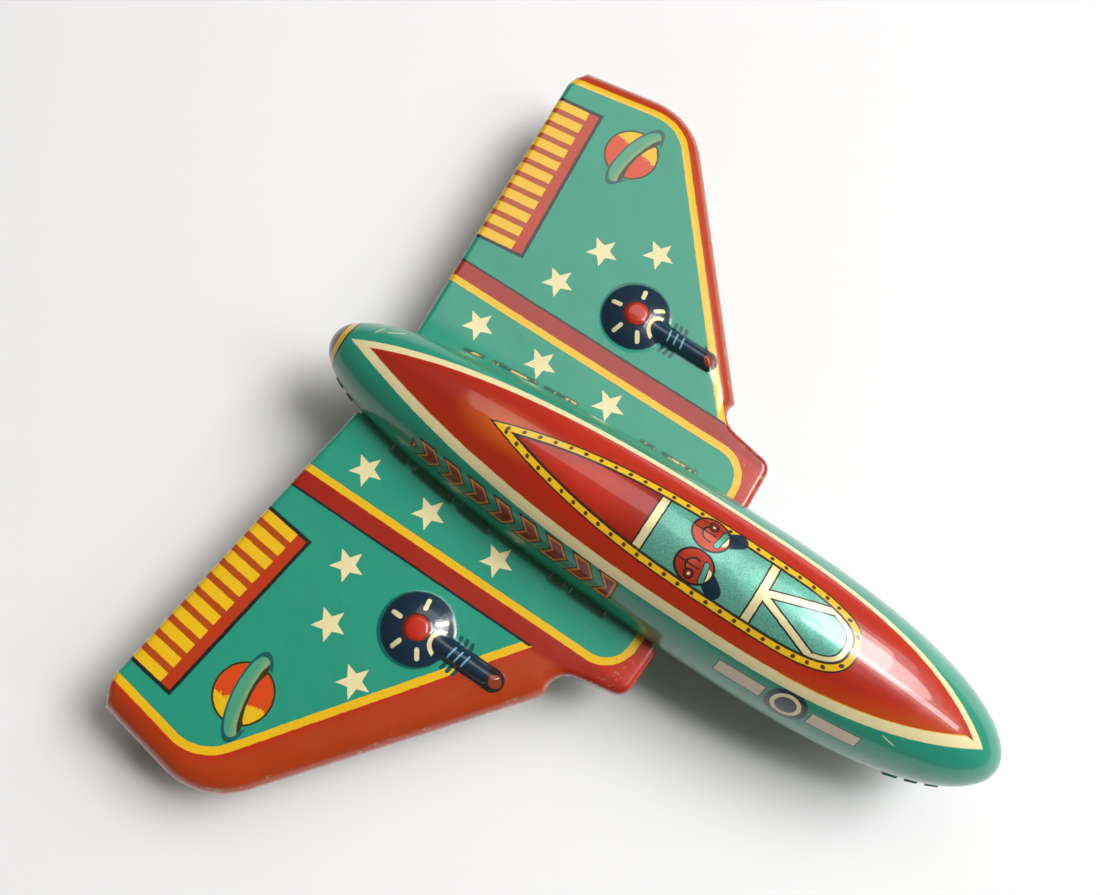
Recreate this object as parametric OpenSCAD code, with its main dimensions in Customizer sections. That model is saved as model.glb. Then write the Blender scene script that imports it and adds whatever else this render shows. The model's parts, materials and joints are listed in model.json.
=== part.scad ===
// Tinplate toy jet plane with a friction motor.
//
// Frame: +X towards the nose, +Y towards the left wing tip, +Z up. The origin is on the
// ground and on the middle plane, 75 mm ahead of the tail's end. Sizes are in millimetres.
//
// The body is two pressed half shells of a slim torpedo. One pressed wing sheet lies
// between them, and tabs of the upper shell pass down through slots in that sheet.
// The friction motor stands in the belly: its axle carries the two driven wheels, and
// two gear stages turn a small flywheel. A third wheel runs in a fork under the tail.

/* [Body] */
// Reach of the nose ahead of the origin
nose_x = 73.4; // [70:0.1:78]
// Reach of the tail behind the origin
tail_reach = 75; // [72:0.1:80]
// Largest radius of the body
body_r = 15.6; // [15.4:0.1:16.6]
// Where the body is thickest, forward of its middle
thick_x = 12; // [6:1:16]
// Height of the body's long axis above the ground
axis_z = 20; // [19.6:0.1:21]
// Thickness of the tinplate
tin = 0.4; // [0.3:0.05:0.5]

/* [Wing] */
// Depth of the seam, and of the wing's flat top, below the body's axis
seam_drop = 1; // [0.8:0.1:1.4]
// Half of the span
half_span = 84; // [79:1:89]
// Depth of the turned-down rim
rim_depth = 4.6; // [3.5:0.1:5.5]
// Width of the rounded rim along the leading edge and the tip
rim_w = 5; // [3.5:0.1:5.5]
// Width of the rounded rim along the trailing edge and the root
edge_w = 1.4; // [1:0.1:2]

/* [Turrets] */
// Radius of each embossed dome
dome_r = 7; // [6:0.1:7.5]
// Height of each dome above the wing
dome_h = 2.2; // [1.5:0.1:2.6]
// Length of each barrel, from its dome's centre to its tip
barrel_len = 19; // [16:0.5:20]

/* [Running gear] */
// Radius of the driven wheels over their tyres
wheel_r = 9; // [8.8:0.1:9.2]
// Width of a tyre
tyre_w = 3.4; // [2.8:0.1:3.6]
// Radius of the wheel under the tail
tail_wheel_r = 3.3; // [3:0.1:3.4]
// Where the driven axle lies
axle_x = 14; // [13:0.5:15]
// Where the tail wheel's pin lies
tail_x = -48; // [-50:0.5:-46]

/* [Friction motor] */
// Size of the gear teeth (pitch diameter over tooth count)
gear_module = 0.6; // [0.58:0.01:0.6]
// Clear width between the motor's side plates
motor_w = 9.2; // [9:0.1:9.6]
// Thickness of a side plate
plate_t = 0.8; // [0.6:0.1:1]
// Thickness of the flywheel
flywheel_t = 4.6; // [3.5:0.1:4.8]

/* [Hidden] */

teal = "#3fa287";
red = "#b8301c";
steel = "#a9adb0";
brass = "#b8923f";
lead = "#6f7276";
rubber = "#26262a";

big = 400;                  // larger than the whole toy
round_fn = 96;              // segments of the body's circles
small_fn = 48;              // segments of the small round pieces
tail_end_x = -tail_reach;
seam_z = axis_z - seam_drop;    // the seam, which is also the wing's flat top
lap = 0.45;                 // the belly's edge nests this far inside the upper shell
rise = 0.6;                 // and stands this far up inside it, ahead of and behind the wing
gap = 0.25;                 // free space round a piece in its cut-out

// ---------- the body's outline ----------

// Radius of the body at x: a blunt nose, a long taper and a rounded tail.
function body_radius(x) =
    x >= thick_x
    ? body_r * sqrt(max(0, 1 - pow((x - thick_x) / (nose_x - thick_x), 2.7)))
    : body_r * pow(max(0, 1 - pow((thick_x - x) / (thick_x - tail_end_x), 2.1)), 0.42);

// Stations along the body, closer together towards both ends.
outline_steps = 44;
function station(i) = (nose_x + tail_end_x - (nose_x - tail_end_x) * cos(180 * i / outline_steps)) / 2;

// The solid of revolution that lies inset from the body's outer face.
module torpedo(inset) {
    translate([0, 0, axis_z])
        rotate([0, 90, 0])
            rotate_extrude($fn = round_fn)
                polygon(concat(
                    [[0, tail_end_x + inset]],
                    [for (i = [1:outline_steps - 1])
                        let (x = station(i), r = body_radius(x) - inset)
                        if (r > inset) [r, x]],
                    [[0, nose_x - inset]]
                ));
}

// A pressed shell of the body, tin thick, whose outer face is inset from the outline.
module shell(inset) {
    difference() {
        torpedo(inset);
        torpedo(inset + tin);
    }
}

// A box from one corner to the opposite one.
module span(low, high) {
    translate(low)
        cube(high - low);
}

// Both sides of something that is modelled on the left.
module both_sides() {
    children();
    mirror([0, 1, 0])
        children();
}

// ---------- the wing's outline ----------

// Corners of the left half of the wing's flat top, each as x, y and corner radius, and
// the width of the rim that follows it.
root_front_x = 12;
root_rear_x = -61.9;
wing_corners = [
    [root_rear_x + edge_w, 0, 0, edge_w],
    [root_rear_x - 6.1, half_span - 7.9, 1.5, rim_w],
    [-44.7, half_span - 4.1, 11, rim_w],
    [-2.9, 27.9, 12, edge_w],
    [root_front_x - 2.5, 25.6, 1.5, edge_w],
    [root_front_x - edge_w, 0, 0, edge_w]
];
// The whole of the flat top can be seen from this point.
wing_centre = [-20, 0];

function unit(v) = v / norm(v);

// How far the rim has changed from width a to width b, when t of the corner is passed.
// It widens late and narrows early, so that neither change makes a bulge.
function rim_blend(a, b, t) = b > a ? pow(t, 2.4) : 1 - pow(1 - t, 2.4);

// The points of one rounded corner, each as [x, y, outward x, outward y, rim width].
// The outline runs clockwise seen from above, so outward is to the left of its course.
function corner_points(i) =
    let (
        here = wing_corners[i],
        p = [here[0], here[1]],
        before = wing_corners[i - 1],
        after = wing_corners[i + 1],
        d1 = unit(p - [before[0], before[1]]),
        d2 = unit([after[0], after[1]] - p),
        bend = acos(d1 * d2),
        side = sign(d1[0] * d2[1] - d1[1] * d2[0]),
        reach = here[2] * tan(bend / 2),
        centre = p - d1 * reach + side * here[2] * [-d1[1], d1[0]],
        steps = max(3, round(bend / 9))
    )
    [for (k = [0:steps])
        let (
            a = side * bend * k / steps,
            n = [-d1[1] * cos(a) - d1[0] * sin(a), d1[0] * cos(a) - d1[1] * sin(a)],
            at = centre - side * here[2] * n
        )
        [at[0], at[1], n[0], n[1],
         before[3] + (here[3] - before[3]) * rim_blend(before[3], here[3], k / steps)]];

left_path = [for (i = [1:len(wing_corners) - 2]) each corner_points(i)];
wing_path = concat(
    [[root_rear_x + edge_w, 0, -1, 0, edge_w]],
    left_path,
    [[root_front_x - edge_w, 0, 1, 0, edge_w]],
    [for (i = [len(left_path) - 1:-1:0])
        let (p = left_path[i])
        [p[0], -p[1], p[2], -p[3], p[4]]]
);

// The wing as a solid mound: flat on top, round towards its rim and straight down below
// that. The inset moves every face inwards.
rim_rings = 5;
module wing_mound(inset) {
    n = len(wing_path);
    top = seam_z - inset;
    foot_z = seam_z - rim_depth - inset;
    rings = [for (k = [0:rim_rings], p = wing_path)
        let (
            a = 90 * k / rim_rings,
            w = p[4] - inset,
            drop = min(rim_depth - 0.8, p[4]) - inset
        )
        [p[0] + p[2] * w * sin(a), p[1] + p[3] * w * sin(a), top - drop * (1 - cos(a))]];
    foot = [for (p = wing_path)
        [p[0] + p[2] * (p[4] - inset), p[1] + p[3] * (p[4] - inset), foot_z]];
    last = rim_rings + 1;
    top_middle = (last + 1) * n;
    foot_middle = top_middle + 1;
    polyhedron(
        points = concat(
            rings, foot,
            [[wing_centre[0], wing_centre[1], top], [wing_centre[0], wing_centre[1], foot_z]]
        ),
        faces = concat(
            [for (j = [0:n - 1]) [top_middle, j, (j + 1) % n]],
            [for (j = [0:n - 1]) [foot_middle, last * n + (j + 1) % n, last * n + j]],
            [for (k = [0:last - 1], j = [0:n - 1])
                let (a = k * n + j, b = k * n + (j + 1) % n)
                each [[b, a, a + n], [b, a + n, b + n]]]
        )
    );
}

// ---------- the wing's slots, and the tabs that pass through them ----------

// Where each slot begins and ends along the body, on both sides.
slots = [[-52.6, -48.4], [-46.4, -36.6], [-34.9, -27.6], [-13.2, -9.9], [-8.5, -0.5]];
slot_out = 1.0;             // how far a slot reaches outboard of the body
tab_drop = 2 * tin + 0.05;  // how far a tab passes below the wing's flat top
tab_end = 0.3;              // a tab is this much shorter than its slot at each end
nose_tabs = [[57, 59.5], [61, 63], [64.5, 66.5]];
tail_tabs = [[-70, -68], [-66.5, -64.8]];

// A strip beside the body from x0 to x1, between two distances from its side.
module side_strip(x0, x1, inboard, outboard, z0, z1) {
    translate([0, 0, z0])
        linear_extrude(z1 - z0)
            polygon([
                [x0, body_radius(x0) + inboard],
                [x1, body_radius(x1) + inboard],
                [x1, body_radius(x1) + outboard],
                [x0, body_radius(x0) + outboard]
            ]);
}

module upper_shell() {
    bend_z = seam_z - tin - 0.05;   // the bent ends lie just under the wing sheet
    color(teal)
        union() {
            intersection() {
                shell(0);
                union() {
                    span([-big, -big, seam_z], [big, big, big]);
                    for (t = slots)
                        span([t[0] + tab_end, -big, seam_z - tab_drop], [t[1] - tab_end, big, big]);
                    for (t = concat(nose_tabs, tail_tabs))
                        span([t[0], -big, seam_z - tab_drop], [t[1], big, big]);
                }
            }
            both_sides()
                for (t = slots)
                    side_strip(t[0] + tab_end, t[1] - tab_end, -0.3, 1.9, bend_z - tin, bend_z);
        }
}

module belly_shell() {
    bay_half_len = wheel_r + 0.7;
    bay_half_w = hub_y1 + 0.7;
    bay_top_z = seam_z - 7;
    foot_y0 = motor_w / 2 - 0.15;
    foot_y1 = plate_out_y + 0.15;
    color(teal)
        difference() {
            intersection() {
                shell(lap);
                union() {
                    span([-big, -big, -big], [big, big, seam_z - tin - 0.02]);
                    span([root_front_x + gap, -big, -big], [big, big, seam_z + rise]);
                    span([-big, -big, -big], [root_rear_x - gap, big, seam_z + rise]);
                }
            }
            // the bay that the motor and the driven wheels reach down through
            span([axle_x - bay_half_len, -bay_half_w, -1], [axle_x + bay_half_len, bay_half_w, bay_top_z]);
            // slots for the feet of the motor's side plates
            both_sides()
                for (x = [foot_rear_x, foot_front_x])
                    span([x - 0.2, foot_y0, 0], [x + foot_len + 0.2, foot_y1, bay_top_z]);
            // slots for the ears of the tail fork
            both_sides()
                span([tail_x - 2.2, fork_y - 0.1, 0], [tail_x + 2.2, fork_y + fork_t + 0.1, axis_z - 4]);
        }
}

// One dome with its centre button and barrel, as solids that are grown by grow.
module turret(grow) {
    ball_r = (dome_r * dome_r + dome_h * dome_h) / (2 * dome_h);
    button_r = 2.4;
    barrel_z = seam_z - 0.3;
    barrel_r0 = 1.95;
    barrel_r1 = 1.55;
    barrel_x0 = 3.5;
    barrel_x1 = barrel_len - barrel_r1;
    translate([0, 0, seam_z + dome_h - ball_r])
        sphere(ball_r + grow, $fn = round_fn);
    translate([0, 0, seam_z + dome_h - 0.4 + grow])
        cylinder(h = 0.9, r1 = button_r + grow, r2 = button_r - 0.5 + grow, $fn = small_fn);
    translate([barrel_x0, 0, barrel_z])
        rotate([0, 90, 0])
            cylinder(
                h = barrel_x1 - barrel_x0,
                r1 = barrel_r0 + grow,
                r2 = barrel_r1 + grow,
                $fn = small_fn
            );
    translate([barrel_x1, 0, barrel_z])
        sphere(barrel_r1 + grow, $fn = small_fn);
}

turret_x = -28;
turret_y = 37.7;
module wing_sheet() {
    window_x0 = -14;
    window_y = motor_w / 2 + plate_t + 0.5;
    color(red)
        difference() {
            union() {
                difference() {
                    wing_mound(0);
                    wing_mound(tin);
                    both_sides()
                        translate([turret_x, turret_y, 0])
                            cylinder(h = seam_z + 1, r = dome_r - 0.3, $fn = round_fn);
                    both_sides()
                        span([turret_x, turret_y - 1.3, seam_z - 1],
                             [turret_x + barrel_len - 1.4, turret_y + 1.3, seam_z + 1]);
                    // room for the belly under the sheet
                    intersection() {
                        torpedo(-gap);
                        span([-big, -big, -big], [big, big, seam_z - tin]);
                    }
                }
                both_sides()
                    intersection() {
                        translate([turret_x, turret_y, 0])
                            difference() {
                                turret(0);
                                turret(-tin);
                            }
                        span([-big, 0, seam_z - tin], [big, big, big]);
                    }
            }
            // the notch that the motor stands up through
            span([window_x0, -window_y, 0], [big, window_y, big]);
            both_sides()
                for (t = slots)
                    side_strip(t[0], t[1], -0.6, slot_out, seam_z - 3, seam_z + 0.1);
            // the sheet ends just behind the nose half of the belly
            span([root_front_x + 0.05, -body_r - 0.2, 0], [big, body_r + 0.2, big]);
        }
}

// ---------- the friction motor ----------

plate_out_y = motor_w / 2 + plate_t;
foot_rear_x = -8.5;
foot_front_x = 24.2;
foot_len = 2;

drive_teeth = 20;
idler_teeth = 22;
pinion_teeth = 8;
axle_r = 1;
arbor_r = 0.7;
run_gap = 0.05;             // radial play of a shaft in its hole
fit_gap = 0.02;             // radial gap of a piece pressed on a shaft

axle_z = wheel_r;
drive_line = 140;           // direction from the axle to the idler's arbor
fly_line = 160;             // direction from the idler's arbor to the flywheel's
drive_centres = gear_module * (drive_teeth + pinion_teeth) / 2;
fly_centres = gear_module * (idler_teeth + pinion_teeth) / 2;
idler_at = [axle_x, axle_z] + drive_centres * [cos(drive_line), sin(drive_line)];
fly_at = idler_at + fly_centres * [cos(fly_line), sin(fly_line)];
flywheel_r = fly_centres - arbor_r - 0.4;

post_r = 1.1;
post_rivet_r = 0.7;
posts_at = [[-8.3, 9], [-8.3, 24], [17.3, 18], [24.9, 9.4]];

// Layers across the motor, from its right side to its left.
drive_layer = [-motor_w / 2 + 0.4, -motor_w / 2 + 1.7];
idler_layer = [-motor_w / 2 + 2.0, -motor_w / 2 + 3.1];
flywheel_layer = [-motor_w / 2 + 3.7, -motor_w / 2 + 3.7 + flywheel_t];

// A round bar along Y, centred on [x, z] in the side view.
module bar(at, r, y0, y1) {
    translate([at[0], y1, at[1]])
        rotate([90, 0, 0])
            cylinder(h = y1 - y0, r = r, $fn = small_fn);
}

// Half the angle that a tooth takes up at radius r, with involute flanks.
pressure = 20;
backlash = 0.12;
function involute(a) = tan(a) * 180 / PI - a;
function tooth_half_angle(teeth, r) =
    let (rp = gear_module * teeth / 2, rb = rp * cos(pressure))
    90 / teeth - backlash / (2 * rp) * 180 / PI + involute(pressure)
        - (r > rb ? involute(acos(rb / r)) : 0);

function polar(r, a) = [r * cos(a), r * sin(a)];

// A spur gear seen from its side, with a tooth centred on the direction phase.
module gear_outline(teeth, tip, root, phase) {
    rp = gear_module * teeth / 2;
    ra = rp + tip * gear_module;
    rf = rp - root * gear_module;
    radii = [rf, rp - 0.25 * gear_module, rp, (rp + ra) / 2, ra];
    flank = [for (r = radii) [r, tooth_half_angle(teeth, r)]];
    polygon([for (i = [0:teeth - 1])
        let (mid = phase + 360 * i / teeth)
        each concat(
            [for (f = flank) polar(f[0], mid - f[1])],
            [for (k = [len(flank) - 1:-1:0]) polar(flank[k][0], mid + flank[k][1])]
        )]);
}

// A gear on a shaft along Y, between two heights of the layer.
module gear(at, layer, teeth, tip, root, phase, bore) {
    difference() {
        translate([at[0], layer[1], at[1]])
            rotate([90, 0, 0])
                linear_extrude(layer[1] - layer[0])
                    gear_outline(teeth, tip, root, phase);
        bar(at, bore, layer[0] - 1, layer[1] + 1);
    }
}

// Wheels have short teeth and pinions have long ones, so that few teeth still run freely.
wheel_tip = 0.5;
wheel_root = 1.25;
pinion_tip = 0.95;
pinion_root = 0.78;
half_tooth = 180 / pinion_teeth;

module drive_gear() {
    color(brass)
        gear([axle_x, axle_z], drive_layer, drive_teeth, wheel_tip, wheel_root, drive_line,
             axle_r + fit_gap);
}

module idler_pinion() {
    color(brass)
        gear(idler_at, drive_layer, pinion_teeth, pinion_tip, pinion_root,
             drive_line + 180 + half_tooth, arbor_r + fit_gap);
}

module idler_gear() {
    color(brass)
        gear(idler_at, idler_layer, idler_teeth, wheel_tip, wheel_root, fly_line, arbor_r + fit_gap);
}

module flywheel_pinion() {
    color(brass)
        gear(fly_at, idler_layer, pinion_teeth, pinion_tip, pinion_root,
             fly_line + 180 + half_tooth, arbor_r + fit_gap);
}

module flywheel() {
    recess = 0.8;
    color(lead)
        difference() {
            bar(fly_at, flywheel_r, flywheel_layer[0], flywheel_layer[1]);
            bar(fly_at, arbor_r + fit_gap, flywheel_layer[0] - 1, flywheel_layer[1] + 1);
            // a shallow turned recess in each face leaves a raised rim and a boss
            for (y = [flywheel_layer[0] - recess, flywheel_layer[1] - recess])
                difference() {
                    bar(fly_at, flywheel_r - 1.8, y, y + 2 * recess);
                    bar(fly_at, 2.2, y - 1, y + 2 * recess + 1);
                }
        }
}

module arbor(at) {
    color(steel)
        bar(at, arbor_r, -plate_out_y - 0.3, plate_out_y + 0.3);
}

module idler_arbor() arbor(idler_at);
module flywheel_arbor() arbor(fly_at);

// The outline of a side plate, seen from the side, with its two feet.
module plate_outline() {
    rest_z = axis_z - 12.8;         // where the plate stands on the inside of the belly
    foot_z = rest_z - 2;
    low_z = axle_z - 5.2;           // the lowest edge, under the axle
    polygon([
        [-10.4, rest_z], [-10.4, 24.6], [-8.4, 26.5], [4.5, 26.5], [9.5, 21.4], [17, 20.2],
        [20, 18], [27, 11], [27, rest_z],
        [foot_front_x + foot_len, rest_z], [foot_front_x + foot_len, foot_z],
        [foot_front_x, foot_z], [foot_front_x, rest_z],
        [23.9, rest_z], [20, low_z], [8, low_z], [4, rest_z],
        [foot_rear_x + foot_len, rest_z], [foot_rear_x + foot_len, foot_z],
        [foot_rear_x, foot_z], [foot_rear_x, rest_z]
    ]);
}

module motor_plate(side) {
    y0 = side > 0 ? motor_w / 2 : -plate_out_y;
    color(steel)
        difference() {
            translate([0, y0 + plate_t, 0])
                rotate([90, 0, 0])
                    linear_extrude(plate_t)
                        plate_outline();
            bar([axle_x, axle_z], axle_r + run_gap, y0 - 1, y0 + plate_t + 1);
            for (at = [idler_at, fly_at])
                bar(at, arbor_r + run_gap, y0 - 1, y0 + plate_t + 1);
            for (at = posts_at)
                bar(at, post_rivet_r + fit_gap, y0 - 1, y0 + plate_t + 1);
        }
}

module motor_plate_left() motor_plate(1);
module motor_plate_right() motor_plate(-1);

// Posts that hold the side plates apart, riveted over on the outside.
module motor_posts() {
    head_t = 0.4;
    color(steel)
        for (at = posts_at) {
            bar(at, post_r, -motor_w / 2, motor_w / 2);
            bar(at, post_rivet_r, -plate_out_y - head_t, plate_out_y + head_t);
            both_sides()
                bar(at, post_r, plate_out_y, plate_out_y + head_t);
        }
}

// ---------- the wheels ----------

hub_r = 5.4;
hub_y0 = plate_out_y + 0.9;
hub_y1 = hub_y0 + tyre_w;

module drive_axle() {
    color(steel)
        bar([axle_x, axle_z], axle_r, -hub_y1 - 0.3, hub_y1 + 0.3);
}

// The left wheel, as a turned profile: radius across, width up.
module on_left_wheel() {
    translate([axle_x, hub_y1, axle_z])
        rotate([90, 0, 0])
            rotate_extrude($fn = round_fn)
                children();
}

module wheel_hub() {
    bore = axle_r + fit_gap;
    color(steel)
        on_left_wheel()
            polygon([
                [bore, 0], [2.4, 0], [3, 0.7], [4.2, 0.9], [4.8, 0.3], [hub_r, 0.3],
                [hub_r, tyre_w - 0.3], [4.8, tyre_w - 0.3], [4.2, tyre_w - 0.9],
                [2.4, tyre_w - 0.9], [2.4, tyre_w], [bore, tyre_w]
            ]);
}

module tyre() {
    shoulder = 1.1;
    color(rubber)
        on_left_wheel()
            polygon(concat(
                [[hub_r + fit_gap, 0.35]],
                [for (a = [0:15:90])
                    [wheel_r - shoulder + shoulder * sin(a), shoulder - shoulder * cos(a)]],
                [for (a = [0:15:90])
                    [wheel_r - shoulder + shoulder * cos(a), tyre_w - shoulder + shoulder * sin(a)]],
                [[hub_r + fit_gap, tyre_w - 0.35]]
            ));
}

module wheel_hub_left() wheel_hub();
module wheel_hub_right() mirror([0, 1, 0]) wheel_hub();
module tyre_left() tyre();
module tyre_right() mirror([0, 1, 0]) tyre();

// ---------- the tail wheel ----------

fork_t = 0.5;
tail_pin_r = 0.6;
tail_axle_z = tail_wheel_r;
fork_y = 1.7;               // inner face of each cheek
fork_reach = 3.2;           // half the length of the fork's base

module tail_fork() {
    base_z = axis_z - body_radius(tail_x + fork_reach) + lap - 0.05;
    ear_top = base_z + 3;
    out_y = fork_y + fork_t;
    rear_x = tail_x - fork_reach;
    front_x = tail_x + fork_reach;
    color(steel)
        difference() {
            union() {
                span([rear_x, -out_y, base_z - fork_t], [front_x, out_y, base_z]);
                both_sides() {
                    // cheek, narrowing to a round end about the pin
                    translate([0, out_y, 0])
                        rotate([90, 0, 0])
                            linear_extrude(fork_t) {
                                polygon([
                                    [rear_x, base_z - 0.1], [front_x, base_z - 0.1],
                                    [tail_x + 1.5, tail_axle_z], [tail_x - 1.5, tail_axle_z]
                                ]);
                                translate([tail_x, tail_axle_z])
                                    circle(1.5, $fn = small_fn);
                            }
                    // ear that passes up through the belly
                    span([tail_x - 2, fork_y, base_z - 0.1], [tail_x + 2, out_y, ear_top]);
                }
            }
            bar([tail_x, tail_axle_z], tail_pin_r + fit_gap, -big, big);
        }
}

module tail_pin() {
    end_y = fork_y + fork_t;
    color(steel) {
        bar([tail_x, tail_axle_z], tail_pin_r, -end_y - 0.2, end_y + 0.2);
        both_sides()
            bar([tail_x, tail_axle_z], tail_pin_r + 0.4, end_y + 0.05, end_y + 0.5);
    }
}

module tail_wheel() {
    half = fork_y - 0.35;
    width = 2 * half;
    shoulder = 0.6;
    boss_r = 1.3;
    web_r = 2.1;
    recess = 0.4;
    color(rubber)
        translate([tail_x, half, tail_axle_z])
            rotate([90, 0, 0])
                rotate_extrude($fn = round_fn)
                    polygon(concat(
                        [[tail_pin_r + run_gap, 0], [boss_r, 0], [boss_r + 0.2, recess], [web_r, recess]],
                        [for (a = [0:15:90])
                            [tail_wheel_r - shoulder + shoulder * sin(a),
                             0.1 + shoulder - shoulder * cos(a)]],
                        [for (a = [0:15:90])
                            [tail_wheel_r - shoulder + shoulder * cos(a),
                             width - 0.1 - shoulder + shoulder * sin(a)]],
                        [[web_r, width - recess], [boss_r + 0.2, width - recess], [boss_r, width],
                         [tail_pin_r + run_gap, width]]
                    ));
}

// ---------- output ----------

upper_shell();
belly_shell();
wing_sheet();
motor_plate_left();
motor_plate_right();
motor_posts();
drive_axle();
drive_gear();
wheel_hub_left();
wheel_hub_right();
tyre_left();
tyre_right();
idler_arbor();
idler_pinion();
idler_gear();
flywheel_arbor();
flywheel_pinion();
flywheel();
tail_fork();
tail_pin();
tail_wheel();
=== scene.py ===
"""Looks of the tinplate toy jet: pressed and printed tin, rubber tyres and a brass gear train.

Lengths are millimetres in the part's frame (+X nose, +Y left wing, +Z up) and become metres when
a mesh is made. The print is worked out by shader maths from the place of each point. On the wing
v is the distance from the middle line, so both wings share one drawing, and side is 1 on the
left wing and -1 on the right one. On the body s is the length round it from the top, to the left.
"""

import json
import math

import bmesh
import bpy
from mathutils import Matrix, Vector
from mathutils.geometry import delaunay_2d_cdt


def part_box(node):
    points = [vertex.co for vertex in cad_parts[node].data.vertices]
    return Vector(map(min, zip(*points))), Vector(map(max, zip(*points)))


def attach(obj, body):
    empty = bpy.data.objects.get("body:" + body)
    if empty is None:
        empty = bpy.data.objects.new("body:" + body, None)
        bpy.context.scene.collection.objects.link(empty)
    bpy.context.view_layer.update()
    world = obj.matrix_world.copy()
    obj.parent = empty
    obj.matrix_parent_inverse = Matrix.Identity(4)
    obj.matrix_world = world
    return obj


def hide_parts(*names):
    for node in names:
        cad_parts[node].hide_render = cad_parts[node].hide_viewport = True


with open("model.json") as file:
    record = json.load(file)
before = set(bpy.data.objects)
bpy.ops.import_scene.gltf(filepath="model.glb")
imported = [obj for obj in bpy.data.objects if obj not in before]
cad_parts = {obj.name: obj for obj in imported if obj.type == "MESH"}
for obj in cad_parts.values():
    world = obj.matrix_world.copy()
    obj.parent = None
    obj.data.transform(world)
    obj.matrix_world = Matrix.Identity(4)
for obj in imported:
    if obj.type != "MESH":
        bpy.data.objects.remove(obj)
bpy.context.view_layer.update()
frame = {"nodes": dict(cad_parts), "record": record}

MM = 0.001
TIN = 0.4

# ---------------------------------------------------------------- sizes taken from the frame

shell_low, shell_high = (Vector(c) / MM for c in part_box("upper_shell"))
wing_low = Vector(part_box("wing_sheet")[0]) / MM
NOSE_X = shell_high.x
TAIL_X = shell_low.x
BODY_R = 15.6
THICK_X = 12.0  # where the body is thickest
NOSE_POWER = 2.7
TAIL_POWER, TAIL_ROOT = 2.1, 0.42
AXIS_Z = 20.0
SEAM_Z = 19.0  # the flat of the wing, where the two shells meet
RIM_DEPTH = SEAM_Z - wing_low.z
LAP = 0.45  # how far inside the upper shell the belly shell lies


def body_radius(x):
    """Radius of the body's outer face at x."""
    if x >= THICK_X:
        t = min(1.0, (x - THICK_X) / (NOSE_X - THICK_X))
        return BODY_R * math.sqrt(max(0.0, 1 - t**NOSE_POWER))
    t = min(1.0, (THICK_X - x) / (THICK_X - TAIL_X))
    return BODY_R * max(0.0, 1 - t**TAIL_POWER) ** TAIL_ROOT


# ---------------------------------------------------------------- colours

def srgb(r, g, b):
    """A colour given as it looks on a screen, 0 to 255, as the linear colour a shader takes."""
    def linear(c):
        c /= 255
        return c / 12.92 if c <= 0.04045 else ((c + 0.055) / 1.055) ** 2.4
    return (linear(r), linear(g), linear(b), 1.0)


TEAL = srgb(32, 143, 118)
TEAL_DEEP = srgb(10, 122, 98)
RED = srgb(180, 38, 11)
RED_DEEP = srgb(128, 18, 5)
ORANGE = srgb(184, 74, 10)
YELLOW = srgb(226, 180, 18)
CREAM = srgb(226, 214, 164)
NAVY = srgb(12, 40, 62)
INK = srgb(20, 26, 28)
RING_BLUE = srgb(16, 84, 84)
RING_LIGHT = srgb(70, 152, 120)
BALL_EDGE = srgb(52, 46, 8)
RIM_RED = srgb(164, 58, 8)
BROWN = srgb(78, 40, 20)
GLASS = srgb(78, 156, 140)
GLASS_LIGHT = srgb(146, 196, 172)
CHIP = srgb(150, 120, 84)
GRILLE_GROUND = srgb(168, 66, 14)
GRILLE_STRIP = srgb(176, 50, 12)
BALL_RED = srgb(206, 66, 14)
DOME_SHADE = srgb(10, 96, 84)
FIN_TEAL = srgb(8, 74, 74)
GUN_BLUE = srgb(96, 170, 186)
COPPER = srgb(138, 54, 34)
SLOT_GLINT = srgb(226, 184, 92)
BRONZE = srgb(92, 62, 34)
CHEVRON_EDGE = srgb(206, 130, 28)
BAR_CREAM = srgb(206, 190, 166)
HELMET_RED = srgb(172, 48, 18)
HELMET_LIGHT = srgb(222, 120, 70)
TAIL_ORANGE = srgb(188, 82, 8)
LACQUER = srgb(176, 164, 132)
LACQUER_DULL = srgb(120, 106, 80)
RUST = srgb(104, 58, 30)
STEEL, STEEL_DULL = srgb(176, 178, 178), srgb(120, 122, 122)
BRASS, BRASS_DULL = srgb(196, 158, 84), srgb(136, 102, 48)
IRON, IRON_DULL = srgb(112, 112, 112), srgb(74, 72, 70)
RUBBER, RUBBER_DUST = srgb(34, 33, 34), srgb(84, 80, 76)
FLOOR_PAPER = srgb(232, 233, 236)
WALL_PAPER = srgb(222, 221, 218)

# ---------------------------------------------------------------- shader maths

MIX_UNDER, MIX_OVER, MIX_RESULT = 6, 7, 2  # the colour sockets of a mix node


def feed(tree, plug, value):
    """Sets a node's input to a plain value, or links it to what another node works out."""
    if isinstance(value, V):
        value = value.socket
    if isinstance(value, bpy.types.NodeSocket):
        tree.links.new(value, plug)
    else:
        plug.default_value = value


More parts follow.
